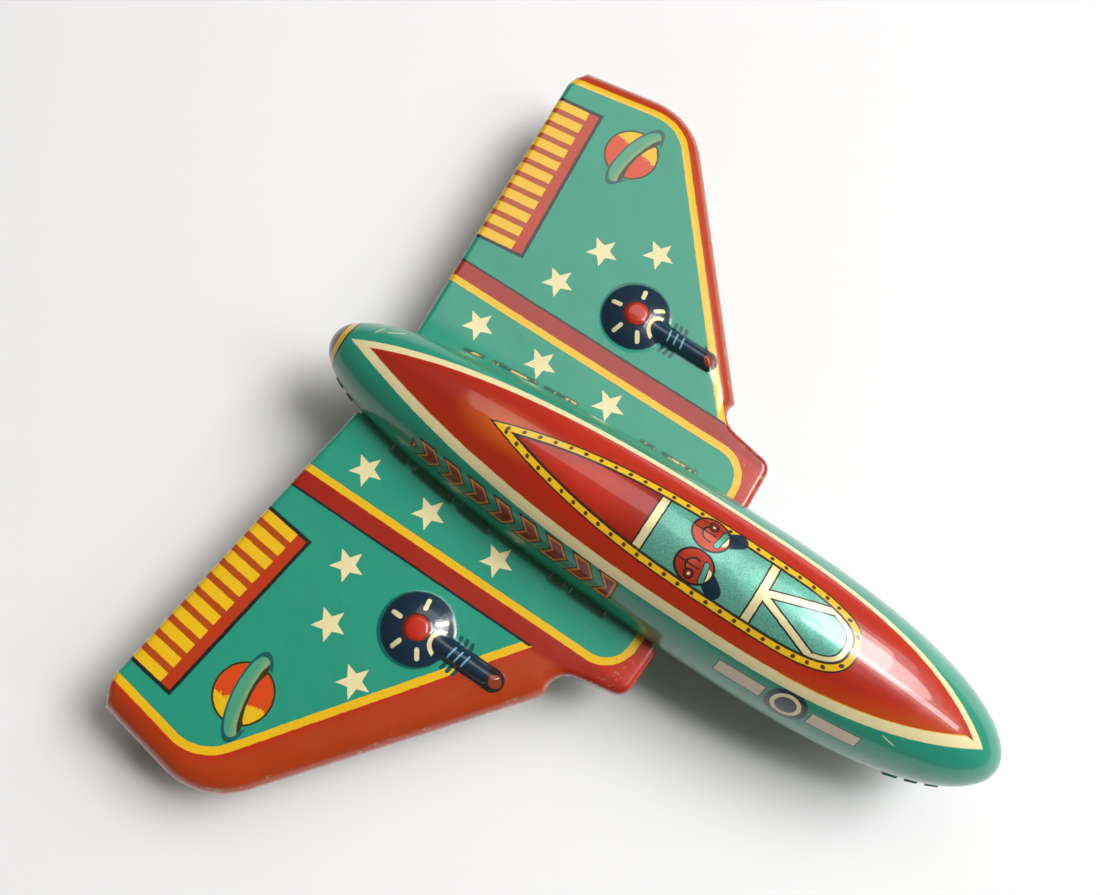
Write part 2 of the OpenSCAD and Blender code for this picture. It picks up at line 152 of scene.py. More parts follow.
class V:
    """A number that a node tree works out at every point, so that shapes read as formulas."""

    def __init__(self, tree, socket):
        self.tree = tree
        self.socket = socket

    def op(self, kind, *others):
        node = self.tree.nodes.new("ShaderNodeMath")
        node.operation = kind
        for plug, value in zip(node.inputs, (self, *others)):
            feed(self.tree, plug, value)
        return V(self.tree, node.outputs[0])

    def __add__(self, o): return self.op("ADD", o)
    def __radd__(self, o): return self.op("ADD", o)
    def __sub__(self, o): return self.op("SUBTRACT", o)
    def __rsub__(self, o): return (self * -1.0).op("ADD", o)
    def __mul__(self, o): return self.op("MULTIPLY", o)
    def __rmul__(self, o): return self.op("MULTIPLY", o)
    def __truediv__(self, o): return self.op("DIVIDE", o)
    def __neg__(self): return self.op("MULTIPLY", -1.0)
    def __abs__(self): return self.op("ABSOLUTE")
    def __pow__(self, o): return self.op("POWER", o)
    def least(self, o): return self.op("MINIMUM", o)
    def most(self, o): return self.op("MAXIMUM", o)
    def sqrt(self): return self.op("SQRT")
    def fract(self): return self.op("FRACT")
    def angle(self, x): return self.op("ARCTAN2", x)
    def cos(self): return self.op("COSINE")
    def sin(self): return self.op("SINE")
    def above(self, o): return self.op("GREATER_THAN", o)
    def below(self, o): return self.op("LESS_THAN", o)

    def clamp(self, low=0.0, high=1.0):
        return self.most(low).least(high)

    def ramp(self, start, end):
        """0 before start, 1 after end, and straight between them."""
        return ((self - start) / (end - start)).clamp()

    def mix(self, other, share):
        """This value where share is 0 and the other where it is 1."""
        return self + (other - self) * share


def any_of(shapes):
    """The distance from the nearest of several shapes."""
    shapes = list(shapes)
    nearest = shapes[0]
    for shape in shapes[1:]:
        nearest = nearest.least(shape)
    return nearest


def hypot(a, b):
    return (a * a + b * b).sqrt()


def circle(x, y, cx, cy, r):
    """Distance from a disc."""
    return hypot(x - cx, y - cy) - r


def bar(x, y, start, end, r):
    """Distance from a straight bar with round ends."""
    (ax, ay), (bx, by) = start, end
    dx, dy = bx - ax, by - ay
    px, py = x - ax, y - ay
    h = ((px * dx + py * dy) / (dx * dx + dy * dy)).clamp()
    return hypot(px - h * dx, py - h * dy) - r


def half_plane(x, y, point, normal):
    """Distance past a straight line, on the side that its normal points to."""
    n = math.hypot(*normal)
    nx, ny = normal[0] / n, normal[1] / n
    return x * nx + y * ny - (point[0] * nx + point[1] * ny)


def star(x, y, cx, cy, tip, waist):
    """Distance from a five-pointed star with one tip towards +X."""
    px, py = x - cx, y - cy
    point_angle = math.radians(72)
    turn = py.angle(px) / point_angle
    fold = abs((turn + 0.5).fract() - 0.5) * point_angle
    rho = hypot(px, py)
    inner = (waist * math.cos(point_angle / 2), waist * math.sin(point_angle / 2))
    normal = (inner[1], tip - inner[0])
    return half_plane(rho * fold.cos(), rho * fold.sin(), (tip, 0), normal)


def rounded_corner(a, b, r):
    """The inside of two edges at right angles, with the corner between them rounded."""
    ar, br = a + r, b + r
    return hypot(ar.most(0.0), br.most(0.0)) + ar.most(br).least(0.0) - r


def inside(d, soft=0.07):
    """1 inside a shape and 0 outside, from its distance, with an edge as soft as ink on tin."""
    return (0.5 - d / soft).clamp()


def band(d, half_width, soft=0.07):
    """1 within half_width of a shape's outline."""
    return inside(abs(d) - half_width, soft)


class Painter:
    """A material in the making: each lay() prints one ink over those before it."""

    def __init__(self, name, base):
        self.material = bpy.data.materials.new(name)
        self.material.use_nodes = True
        self.tree = self.material.node_tree
        self.tree.nodes.clear()
        coordinates = self.tree.nodes.new("ShaderNodeTexCoord")
        scale = self.tree.nodes.new("ShaderNodeVectorMath")
        scale.operation = "SCALE"
        scale.inputs["Scale"].default_value = 1 / MM
        self.tree.links.new(coordinates.outputs["Object"], scale.inputs[0])
        self.place = scale.outputs[0]
        split = self.tree.nodes.new("ShaderNodeSeparateXYZ")
        self.tree.links.new(self.place, split.inputs[0])
        self.x, self.y, self.z = (V(self.tree, s) for s in split.outputs)
        self.colour = base

    def noise(self, scale, detail=2.0, stretch=(1, 1, 1), offset=(0, 0, 0), rough=0.5):
        """Smooth noise about 0.5, with features about 1 / scale millimetres across."""
        place = self.tree.nodes.new("ShaderNodeMapping")
        place.inputs["Location"].default_value = offset
        place.inputs["Scale"].default_value = stretch
        self.tree.links.new(self.place, place.inputs["Vector"])
        node = self.tree.nodes.new("ShaderNodeTexNoise")
        node.inputs["Scale"].default_value = scale
        node.inputs["Detail"].default_value = detail
        node.inputs["Roughness"].default_value = rough
        self.tree.links.new(place.outputs[0], node.inputs["Vector"])
        return V(self.tree, node.outputs["Fac"])

    def lay(self, ink, share):
        """Prints one ink where share is 1."""
        node = self.tree.nodes.new("ShaderNodeMix")
        node.data_type = "RGBA"
        for plug, value in (("Factor", share), (MIX_UNDER, self.colour), (MIX_OVER, ink)):
            feed(self.tree, node.inputs[plug], value)
        self.colour = node.outputs[MIX_RESULT]

    def shade(self, amount):
        """Multiplies the colour by a number."""
        node = self.tree.nodes.new("ShaderNodeVectorMath")
        node.operation = "SCALE"
        plain = isinstance(self.colour, tuple)
        feed(self.tree, node.inputs[0], self.colour[:3] if plain else self.colour)
        feed(self.tree, node.inputs["Scale"], amount)
        self.colour = node.outputs[0]

    def bumps(self, height, strength, distance):
        """The normal of a surface with this height, which rises by distance millimetres."""
        node = self.tree.nodes.new("ShaderNodeBump")
        node.inputs["Strength"].default_value = strength
        node.inputs["Distance"].default_value = distance * MM
        feed(self.tree, node.inputs["Height"], height)
        return node.outputs["Normal"]

    def finish(self, roughness, metallic=0.0, normal=None, coat=0.0, coat_roughness=0.1,
               specular=0.5):
        """The shader: each constant sits on its own socket, and only what varies is linked."""
        shader = self.tree.nodes.new("ShaderNodeBsdfPrincipled")
        out = self.tree.nodes.new("ShaderNodeOutputMaterial")
        values = {
            "Base Color": self.colour,
            "Roughness": roughness,
            "Metallic": metallic,
            "Coat Weight": coat,
            "Coat Roughness": coat_roughness,
            "Coat IOR": 1.5,
            "Specular IOR Level": specular,
        }
        if normal is not None:
            values["Normal"] = normal
        for name, value in values.items():
            feed(self.tree, shader.inputs[name], value)
        self.tree.links.new(shader.outputs[0], out.inputs["Surface"])
        return self.material


def ink_wear(p, edge):
    """Grain of the print, faint grime, pinprick chips, and larger chips where edge is 1."""
    grain = p.noise(4.2, 3.0, rough=0.65)
    p.shade(grain * 0.34 + 0.83)
    cloud = p.noise(0.06, 3.0, offset=(7, 3, 1))
    p.shade(cloud * 0.16 + 0.92)
    specks = p.noise(1.1, 4.0, offset=(31, 5, 9), rough=0.75)
    p.lay(BROWN, specks.ramp(0.71, 0.74) * 0.6)
    chips = p.noise(0.55, 5.0, offset=(2, 17, 4), rough=0.75)
    p.lay(CHIP, (chips + edge * 0.16).ramp(0.74, 0.76))


def litho_finish(p, metallic=0.0):
    """Glossy lacquer over the print, on tin that isn't quite flat."""
    ripple = p.noise(0.12, 2.0, offset=(3, 9, 2))
    peel = p.noise(1.6, 2.0)
    smears = p.noise(0.25, 4.0, stretch=(0.4, 1.2, 1), offset=(12, 1, 8))
    dents = p.noise(0.3, 3.0, offset=(21, 4, 6))
    normal = p.bumps(ripple * 1.3 + dents * 0.35 + peel * 0.06, 0.5, 0.4)
    return p.finish(smears * 0.22 + 0.24, metallic, normal, coat=0.85, coat_roughness=0.05,
                    specular=0.35)


# ---------------------------------------------------------------- the wing's print

STARS = [(-53.8, 18.1), (-38.9, 18.3), (-22.9, 18.6), (-45.8, 35.0), (-42.0, 45.8), (-32.0, 51.7)]
STAR_TIP, STAR_WAIST = 3.42, 1.5
TURRET = (-27.9, 37.7)
DOME_R = 7.0
BUTTON_R = 2.4
SLOTS = [(-52.6, -48.4), (-46.4, -36.6), (-34.9, -27.6), (-13.2, -9.9), (-8.5, -0.5)]
# edges of the flat part and of the print on it: a point and the normal
LEADING_LINE = ((-20.8, 50.17), (0.7799, 0.6259))
TIP_LINE = ((-51.19, 78.87), (-0.162, 0.987))
PRINT_LINES_LEFT = (((-19.2, 51.4), LEADING_LINE[1]), ((-51.4, 80.05), TIP_LINE[1]))
PRINT_LINES_RIGHT = (((-26.0, 51.7), (0.7979, 0.6028)), TIP_LINE)
TIP_ROUNDING = 11.0
# the red stripe runs between the root panel and the outer one
STRIPE_IN, STRIPE_OUT = 24.9, 28.6


def rounding_centre(edge, other, r):
    """The centre of a rounding of radius r between two lines, each a point and a unit normal."""
    (px, py), (nx, ny) = edge
    (qx, qy), (mx, my) = other
    a, b = px * nx + py * ny - r, qx * mx + qy * my - r
    det = nx * my - ny * mx
    return (a * my - ny * b) / det, (nx * b - a * mx) / det


def outline_distance(x, v, edge, tip_edge):
    """Distance outside two lines and the rounding between them."""
    cx, cy = rounding_centre(edge, tip_edge, TIP_ROUNDING)
    leading = half_plane(x, v, *edge)
    tip = half_plane(x, v, *tip_edge)
    past_leading = half_plane(x, v, (cx, cy), (-edge[1][1], edge[1][0]))
    past_tip = half_plane(x, v, (cx, cy), (tip_edge[1][1], -tip_edge[1][0]))
    both = past_leading.above(0.0) * past_tip.above(0.0)
    return leading.most(tip).mix(circle(x, v, cx, cy, TIP_ROUNDING), both)


def wing_edge_distance(x, v):
    """Distance outside the flat part's outline, along the leading edge and the tip."""
    return outline_distance(x, v, LEADING_LINE, TIP_LINE)


def panel_distance(x, v, side):
    """Distance outside the outer teal panel's border, which was printed askew."""
    left = outline_distance(x, v, *PRINT_LINES_LEFT)
    right = outline_distance(x, v, *PRINT_LINES_RIGHT)
    return left.mix(right, side.below(0.0))


def print_panels(p, x, v, side):
    """The teal panels with yellow borders on the red ground, and the stripe between them."""
    rim = wing_edge_distance(x, v)
    edge = panel_distance(x, v, side)
    outer = v.above(STRIPE_OUT - 0.05)
    orange = rim.ramp(-1.0, 3.5).most(edge.ramp(0.0, 1.5) * side.below(0.0))
    p.lay(RIM_RED, orange * outer * 0.85)
    shade = v.ramp(STRIPE_IN - 0.5, STRIPE_IN + 0.5) * v.ramp(STRIPE_OUT + 1.0, STRIPE_OUT)
    p.lay(RED_DEEP, shade * 0.6)
    root = rounded_corner(v - STRIPE_IN, x + (v - 16.0) * 0.06 - 8.0, 6.5)
    p.lay(YELLOW, inside(root))
    p.lay(TEAL, inside(root + 1.5))
    p.lay(YELLOW, inside(edge) * outer)
    p.lay(TEAL, inside(edge + 1.55) * outer)
    p.lay(INK, band(v - STRIPE_OUT, 0.24) * inside(edge + 0.2))


def print_stars(p, x, v, side):
    """Six cream stars, printed slightly off their place."""
    x, v = x - 0.25 - side * 0.35, v - 0.3
    p.lay(CREAM, inside(any_of(star(x, v, *at, STAR_TIP, STAR_WAIST) for at in STARS)))


def print_grille(p, x, v):
    """Eleven yellow bars on a red-brown ground, with a red strip ahead of them."""
    corner = (-63.8, 34.4)
    along = half_plane(x, v, corner, (-0.115, 0.9934))
    ahead = half_plane(x, v, corner, (0.9934, 0.115))
    length, depth, pitch, strip = 37.4, 9.8, 3.4, 3.0
    box = (-along).most(along - length).most(ahead - depth)
    ground = inside(box + 0.75)
    behind = inside(ahead - depth + strip)
    bars = abs((along / pitch).fract() - 0.5) * pitch - 1.05
    p.lay(INK, inside(box))
    p.lay(GRILLE_GROUND, ground)
    p.lay(YELLOW, inside(bars) * ground * behind)
    p.lay(GRILLE_STRIP, ground * (1.0 - behind))


def print_planet(p, x, v, side):
    """A ball in two colours with a broad ring that passes in front of it."""
    cx, cy = side * -0.55 - 48.0, side * 1.7 + 66.6
    ball = circle(x, v, cx, cy, 5.85)
    tilt = math.radians(79)
    px, py = x - cx - 0.9, v - cy
    along = px * math.cos(tilt) + py * math.sin(tilt)
    across = py * math.cos(tilt) - px * math.sin(tilt)
    outer = (hypot(along / 8.7, across / 3.0) - 1.0) * 3.0
    hole = (hypot(along / 5.7, (across + 1.75) / 1.45) - 1.0) * 1.45
    ring = outer.most(-hole)
    far = across.below(-1.0)
    p.lay(RING_BLUE, inside(ring) * far)
    p.lay(TEAL, inside(ring + 0.35) * far)
    p.lay(BALL_EDGE, inside(ball))
    p.lay(YELLOW, inside(ball + 0.42))
    speckle = p.noise(2.4, 2.0, offset=(5, 5, 5))
    hot = ((1.2 - along).ramp(-0.6, 0.6) + speckle * 1.6 - 0.75).ramp(0.35, 0.6)
    p.lay(BALL_RED, inside(ball + 0.42) * hot)
    p.lay(RING_BLUE, inside(ring) * (1.0 - far))
    p.lay(RING_LIGHT, inside(ring + 0.36) * (1.0 - far))
    p.lay(YELLOW, inside(ring + 0.36) * hole.ramp(1.3, 0.2) * 0.3)
    p.lay(BALL_EDGE, band(hole, 0.24) * across.above(-1.5) * inside(outer + 0.4))


def print_gun(p, px, py, rho):
    """The dome and the gun in navy, with fins, blue strokes and a copper muzzle."""
    out = abs(py)
    fins = [bar(px, out, (7.9 + 1.25 * i, 1.8), (7.6 + 1.25 * i, 3.3), 0.38) for i in range(3)]
    p.lay(FIN_TEAL, inside(any_of(fins)))
    gun = bar(px, py, (3.0, 0.0), (16.8, 0.0), 2.2)
    p.lay(NAVY, inside(rho - DOME_R).most(inside(gun)))
    for i in range(3):
        stroke = bar(px, py, (8.0 + 1.5 * i, -1.1), (7.6 + 1.5 * i, 1.2), 0.17)
        p.lay(GUN_BLUE, inside(stroke))
    p.lay(INK, inside(gun) * px.ramp(15.0, 15.8))
    p.lay(COPPER, inside(circle(px, py, 17.3, 0.0, 1.25)))


def print_turret(p, x, v, side):
    """A navy dome with cream dashes and a red button, and the gun that points at the nose."""
    px, py = x - TURRET[0], v - TURRET[1]
    rho = hypot(px, py)
    p.lay(DOME_SHADE, inside(circle(x, v, TURRET[0] - 0.35, TURRET[1] + 0.35, DOME_R + 0.25)))
    print_gun(p, px, py, rho)
    arc = abs(hypot(px - 5.6, py) - 2.35) - 0.4
    marks = [arc.most(px - 5.0).most(rho - 6.2)]
    for degrees in (44, 102, 179, 248, 304):
        c, s = math.cos(math.radians(degrees)), math.sin(math.radians(degrees))
        marks.append(bar(px, py * side, (3.9 * c, 3.9 * s), (5.5 * c, 5.5 * s), 0.45))
    socket = inside(rho - BUTTON_R - 0.5)
    p.lay(CREAM, inside(any_of(marks)) * inside(rho - DOME_R + 0.6) * (1.0 - socket))
    p.lay(BROWN, socket * px.ramp(0.5, -1.5))
    p.lay(RED, inside(rho - BUTTON_R))


def paint_slot_shade_and_glint(p, x, v, side):
    """Painted shade as a dark line along each slot where the tabs were bent over, and on the left
    wing only a painted glint of bare yellow tin at the slot's edge.
    """
    for start, end in SLOTS:
        ends = [(at, body_radius(at) + 1.3) for at in (start + 0.3, end - 0.3)]
        # painted shade: a dark line just outside each slot, where the slot lies in shadow
        p.lay(INK, inside(bar(x, v, *ends, 0.45), 0.5) * 0.7)
        # painted highlight: a broken glint of bare tin along the slot, laid only on the left wing,
        # which faces the light
        glint = p.noise(0.6, 2.0, offset=(start, 0, 0)).ramp(0.46, 0.56)
        p.lay(SLOT_GLINT, inside(bar(x, v, *ends, 0.2), 0.2) * glint * side.above(0.0))


def wing_print():
    p = Painter("wing_print", RED)
    wobble = p.noise(0.8, 2.0, offset=(4, 4, 4)) * 0.22 - 0.11
    x = p.x + wobble
    v = abs(p.y) + wobble
    side = p.y.op("SIGN")
    print_panels(p, x, v, side)
    print_stars(p, x, v, side)
    print_grille(p, x, v)
    print_planet(p, x, v, side)
    print_turret(p, x, v, side)
    paint_slot_shade_and_glint(p, x, v, side)
    rim = wing_edge_distance(x, v).ramp(1.5, 4.5).most((SEAM_Z - p.z).ramp(0.4, 1.6))
    ink_wear(p, rim)
    return litho_finish(p)


# ---------------------------------------------------------------- the body's print

FRONT_ARC_X = 31.0  # ahead of this the canopy's border runs round its blunt end
DISC_X = 34.6
SCRATCHES = [
    ((-64.5, 5.2), (-61.8, 7.4)),
    ((-66.6, 3.6), (-65.9, 5.8)),
    ((51.0, -9.0), (53.5, -9.4)),
]


def lens_distance(x, s, middle, half_width, aft, fore, aft_power, fore_power, blunt):
    """Distance from a leaf that reaches aft and fore of its middle; blunt squares its front."""
    ahead = x.above(middle)
    reach = ahead * (fore - aft) + aft
    power = ahead * (fore_power - aft_power) + aft_power
    t = (abs(x - middle) / reach).clamp(0.0001, 2.0)
    u = (abs(s) / half_width).most(0.0001)
    m = 1.0 + x.ramp(middle, middle + 12) * (blunt - 1.0)
    total = u ** m + t ** power
    root = total ** (m ** -1.0)
    slope_s = u ** (m - 1.0) / half_width
    slope_x = t ** (power - 1.0) * power / (reach * m)
    steep = hypot(slope_s, slope_x) * root / total
    return (root - 1.0) / steep


def print_body_ends(p, x):
    """The tail's yellow band and bronze cap, each behind an ink line."""
    for start, ink in ((-70.9, INK), (-71.3, YELLOW), (-72.5, INK), (-72.7, BRONZE)):
        p.lay(ink, inside(x - start))


def print_side(p, x, degrees):
    """Plain chevrons and a plain disc with bars, low on the right side."""
    pitch = 5.9
    s = (-degrees - 58.5) * 0.26
    cell = ((x + abs(s) * 0.8 - 1.4) / pitch).fract() - 0.5
    chevron = (abs(cell) * pitch - 1.75).most(abs(s) - 2.6).most(x + 1.5).most(-48.0 - x)
    p.lay(INK, inside(chevron - 0.25))
    p.lay(CHEVRON_EDGE, inside(chevron + 0.1))
    p.lay(RED_DEEP, inside(chevron + 0.6))
    s = (-degrees - 58.8 - (DISC_X - x) * 0.15) * 0.262
    bars = (abs(s) - 1.45).most(abs(abs(x - DISC_X) - 9.2) - 4.6)
    p.lay(INK, inside(bars - 0.2))
    p.lay(BAR_CREAM, inside(bars))
    p.lay(NAVY, inside(circle(x, s, DISC_X, 0.0, 3.9)))
    p.lay(CREAM, inside(abs(circle(x, s, DISC_X, 0.0, 2.4)) - 0.4))


def print_crew(p, x, s):
    """Two plain helmets, seen from behind and above, with dark shoulders ahead of them."""
    for cx, cs, lean in ((7.6, 4.0, 1.0), (8.0, -2.6, -1.0)):
        px, py = x - cx, (s - cs) * lean
        p.lay(NAVY, inside(bar(px, py, (3.4, 0.9), (5.0, 2.0), 1.5)))
        helmet = (hypot(px / 3.4, py / 2.9) - 1.0) * 2.9
        p.lay(INK, inside(helmet - 0.38))
        p.lay(HELMET_RED, inside(helmet))
        p.lay(HELMET_LIGHT, inside(helmet + 1.3) * px.ramp(0.5, -2.5) * 0.6)
        face = hypot((px - 2.6) / 1.0, (py - 0.6) / 1.5) - 1.0
        p.lay(CREAM, inside(face) * inside(helmet))
        goggles = bar(px, py, (1.8, -1.3), (2.4, 1.7), 0.45)
        p.lay(INK, inside(goggles - 0.2) * inside(helmet))
        p.lay(GLASS, inside(goggles) * inside(helmet))
        p.lay(INK, band(helmet + 1.5, 0.18) * px.below(0.6))
        p.lay(INK, inside(bar(px, py, (-3.2, 0.0), (0.9, 0.1), 0.14)))
        for ink, radius in ((INK, 1.0), (RED_DEEP, 0.72), (CREAM, 0.3)):
            p.lay(ink, inside(circle(px, py, -0.2, 1.6, radius)))


def print_leaf(p, x, s):
    """The long red leaf on top, inside a cream border that is narrower on the left."""
    leaf = lens_distance(x, s, 8.0, 12.0, 75.5, 57.4, 2.2, 3.0, 1.0)
    width = x.ramp(-66.0, -30.0) * 0.28 + 0.8
    left = s.above(0.0)
    inset = width * (1.0 - left * x.ramp(-66.0, 10.0).mix(1.0, 0.35) * 0.95)
    whole = inside(leaf + width)
    p.lay(CREAM, inside(leaf - width))
    p.lay(YELLOW, inside(leaf + inset - 0.12) * x.above(30.0) * (1.0 - left))
    p.lay(RED, inside(leaf + inset + 0.1))
    p.lay(RED_DEEP, whole * (x.ramp(-20.0, -60.0) * 0.5 + leaf.ramp(-1.0, -5.0) * 0.25))
    low = leaf.ramp(-4.5, -1.0) * s.ramp(2.0, -3.0) * 0.9
    p.lay(ORANGE, whole * low * (x.ramp(15.0, 50.0) * 0.8 + 0.2))
    near_tip = (1.0 - hypot((x + 33.0) / 13.0, s / 5.0)).clamp()
    p.lay(TAIL_ORANGE, near_tip * 1.3)


def print_canopy(p, x, s):
    """The cockpit and its riveted border; returns where it is printed as glass."""
    pane = lens_distance(x, s, 12.0, 6.8, 46.6, 27.0, 2.3, 4.0, 2.7)
    half = 0.58
    p.lay(INK, inside(pane - half - 0.3))
    p.lay(YELLOW, inside(pane - half))
    walk_round = FRONT_ARC_X + 6.9 * (math.pi / 2 - abs(s).angle(x - FRONT_ARC_X))
    walk = x.mix(walk_round, x.above(FRONT_ARC_X))
    rivets = hypot(((walk / 2.9).fract() - 0.5) * 2.9, pane) - 0.4
    p.lay(BROWN, inside(rivets, 0.12) * inside(abs(pane) - half))
    p.lay(INK, inside(pane + half))
    inner = pane + half + 0.28
    window = inside(inner)
    p.lay(RED, window)
    p.lay(RED_DEEP, window * (x.ramp(-13.0, -3.5) * 0.6 + inner.ramp(-2.2, -0.3) * 0.4))
    glass = window * inside(-3.3 - x)
    sparkle = p.noise(4.5, 1.0, offset=(9, 9, 9))
    p.lay(GLASS, glass)
    p.lay(GLASS_LIGHT, glass * sparkle.ramp(0.46, 0.66) * 0.5)
    print_crew(p, x, s)
    post = 0.75
    frames = [abs(x + 2.4) - post, abs(x - 20.2) - post]
    frames += [bar(x, s, (20.8, 0.3 * sign), (33.8, 5.0 * sign), 0.6) for sign in (1, -1)]
    frames.append(abs(inner + 0.6) - 0.6 + (33.2 - x).most(0.0))
    frame_distance = any_of(frames)
    p.lay(INK, inside(frame_distance - 0.32) * window)
    p.lay(CREAM, inside(frame_distance) * window)
    p.lay(INK, window * band(inner, 0.22))
    return glass


def body_print():
    p = Painter("body_print", TEAL)
    wobble = p.noise(0.8, 2.0, offset=(4, 4, 4)) * 0.2 - 0.1
    x = p.x + wobble
    rise = p.z - AXIS_Z
    turn = p.y.angle(rise)
    s = turn * hypot(p.y, rise) + wobble
    p.lay(TEAL_DEEP, p.noise(0.05, 2.0).ramp(0.4, 0.75) * 0.5)
    print_body_ends(p, x)
    print_side(p, x, turn * (180 / math.pi))
    print_leaf(p, x, s)
    glass = print_canopy(p, x, s)
    for ends in SCRATCHES:
        p.lay(CREAM, inside(bar(x, s, *ends, 0.12), 0.12) * 0.8)
    ink_wear(p, (SEAM_Z - p.z).ramp(-0.2, 0.4))
    return litho_finish(p, glass * 0.35)


def belly_print():
    p = Painter("belly_print", TEAL)
    p.lay(TEAL_DEEP, p.noise(0.05, 2.0).ramp(0.4, 0.7) * 0.7)
    print_body_ends(p, p.x)
    ink_wear(p, (p.z - SEAM_Z).ramp(-1.0, 0.0))
    return litho_finish(p)


# ---------------------------------------------------------------- plain metals and rubber


def bare_tin():
    """The unprinted inside of the pressings: tin with a thin gold lacquer and some rust."""
    p = Painter("bare_tin", LACQUER)
    p.lay(LACQUER_DULL, p.noise(0.15, 4.0).ramp(0.45, 0.7))
    rust = p.noise(0.35, 6.0, offset=(3, 8, 5), rough=0.7)
    p.lay(RUST, rust.ramp(0.6, 0.72) * 0.85)
    rough = p.noise(0.8, 4.0) * 0.3 + 0.3
    normal = p.bumps(p.noise(0.9, 3.0), 0.4, 0.08)
    return p.finish(rough, metallic=0.85, normal=normal)


def metal(name, light, dark, rough, lines):
    """A worn metal with fine lines from turning or drawing, dulled in patches."""
    p = Painter(name, light)
    p.lay(dark, p.noise(0.35, 4.0).ramp(0.42, 0.68))
    drawn = p.noise(1.1, 2.0, stretch=lines)
    p.shade(drawn * 0.3 + 0.85)
    p.lay(BROWN, p.noise(0.7, 5.0, offset=(5, 1, 6), rough=0.7).ramp(0.66, 0.75) * 0.8)
    normal = p.bumps(drawn, 0.35, 0.05)
    return p.finish(drawn * 0.2 + rough, metallic=1.0, normal=normal)


def rubber():
    """Hard black rubber, dusty and a little greyed."""
    p = Painter("black_rubber", RUBBER)
    p.lay(RUBBER_DUST, p.noise(0.5, 5.0, rough=0.65).ramp(0.5, 0.75) * 0.5)
    dust = p.noise(4.0, 2.0)
    p.shade(dust * 0.4 + 0.8)
    normal = p.bumps(dust + p.noise(0.8, 3.0) * 2.0, 0.4, 0.05)
    return p.finish(p.noise(1.5, 2.0) * 0.25 + 0.5, normal=normal, specular=0.35)


def floor_paint():
    """Pale paper, faintly uneven."""
    p = Painter("studio_floor", FLOOR_PAPER)
    p.shade(p.noise(0.004, 2.0) * 0.05 + 0.975)
    return p.finish(p.noise(0.02, 2.0) * 0.1 + 0.5, specular=0.2)


# ---------------------------------------------------------------- mesh making

SHARP = 50  # an edge that bends by more degrees than this is a sharp one


def link_mesh(name, points, faces, materials):
    """An object of these points and faces, in metres."""
    mesh = bpy.data.meshes.new(name)
    mesh.from_pydata(points, [], faces)
    mesh.validate()
    for material in materials:
        mesh.materials.append(material)
    piece = bpy.data.objects.new(name, mesh)
    bpy.context.scene.collection.objects.link(piece)
    return piece


def tin_piece(name, points, faces, materials):
    """A sheet of the airframe, from points in millimetres."""
    points = [(x * MM, y * MM, z * MM) for x, y, z in points]
    piece = link_mesh(name, points, faces, materials)
    piece.data.shade_smooth()
    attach(piece, "airframe")
    return piece


def thicken(piece):
    """Gives a sheet its tin's thickness, inwards, with bare tin on the inner face and the rim."""
    solid = piece.modifiers.new("tin", "SOLIDIFY")
    solid.thickness = TIN * MM
    solid.offset = -1.0
    solid.use_even_offset = False
    solid.material_offset = 1
    solid.material_offset_rim = 1


def settle(piece):
    """Applies the modifiers and marks sharp edges, so that what shows is plain mesh."""
    bpy.context.view_layer.update()
    depsgraph = bpy.context.evaluated_depsgraph_get()
    mesh = bpy.data.meshes.new_from_object(piece.evaluated_get(depsgraph), depsgraph=depsgraph)
    piece.modifiers.clear()
    piece.data = mesh
    mesh.shade_smooth()
    mesh.set_sharp_from_angle(angle=math.radians(SHARP))


# ---------------------------------------------------------------- the body's shells

TABS = [(-52.3, -48.7), (-46.1, -36.9), (-34.6, -27.9), (-12.9, -10.2), (-8.2, -0.8)]
CRIMPS = [(57, 59.5), (61, 63), (64.5, 66.5), (-70, -68), (-66.5, -64.8)]
ROWS = 72  # faces round each shell
STATIONS = 170  # places along the body
# how far out and down each step of a tab goes from the upper shell's edge
BENT_TAB = [(0.0, -0.34), (0.04, -0.42), (0.16, -0.45), (1.85, -0.45)]
PLAIN_TAB = [(0.0, -0.1), (0.35, -0.25), (0.3, -0.9)]
UNDER_WING = (-63.0, 12.3)  # where the belly shell ends below the wing sheet
BAY_HALF_LEN, BAY_HALF_W, BAY_TOP = 9.7, 10.4, 12.0
FOOT_SLOTS_X = (-8.5, 24.2)
TINY_R = 0.05


def stations(marks):
    """Places along the body, close together at both ends, with every mark among them."""
    middle = (NOSE_X + TAIL_X) / 2
    reach = (NOSE_X - TAIL_X) / 2
    places = [middle - reach * math.cos(math.pi * i / STATIONS) for i in range(1, STATIONS)]
    places = [x for x in places if all(abs(x - m) > 0.3 for m in marks)]
    return sorted(places + list(marks))


def shell_ring(x, r, low_angle, high_angle):
    """A row of points round the body; angles are from the top, to the left."""
    angles = [low_angle + (high_angle - low_angle) * k / ROWS for k in range(ROWS + 1)]
    return [(x, r * math.sin(a), AXIS_Z + r * math.cos(a)) for a in angles]


def shell_faces(columns):
    width = ROWS + 1
    corners = [i * width + k for i in range(columns - 1) for k in range(ROWS)]
    return [(a, a + width, a + width + 1, a + 1) for a in corners]


def close_ends(points, faces, columns, inset):
    """A point at each tip of the body, joined to the nearest row."""
    width = ROWS + 1
    for column, x, flip in ((0, TAIL_X + inset, False), (columns - 1, NOSE_X - inset, True)):
        tip = len(points)
        points.append((x, 0.0, AXIS_Z))
        for k in range(ROWS):
            a, b = column * width + k, column * width + k + 1
            faces.append((tip, b, a) if flip else (tip, a, b))


def seam_angle(r):
    """The angle from the top at which a ring of this radius meets the seam."""
    return math.pi / 2 + math.asin(min(1.0, (AXIS_Z - SEAM_Z) / r))


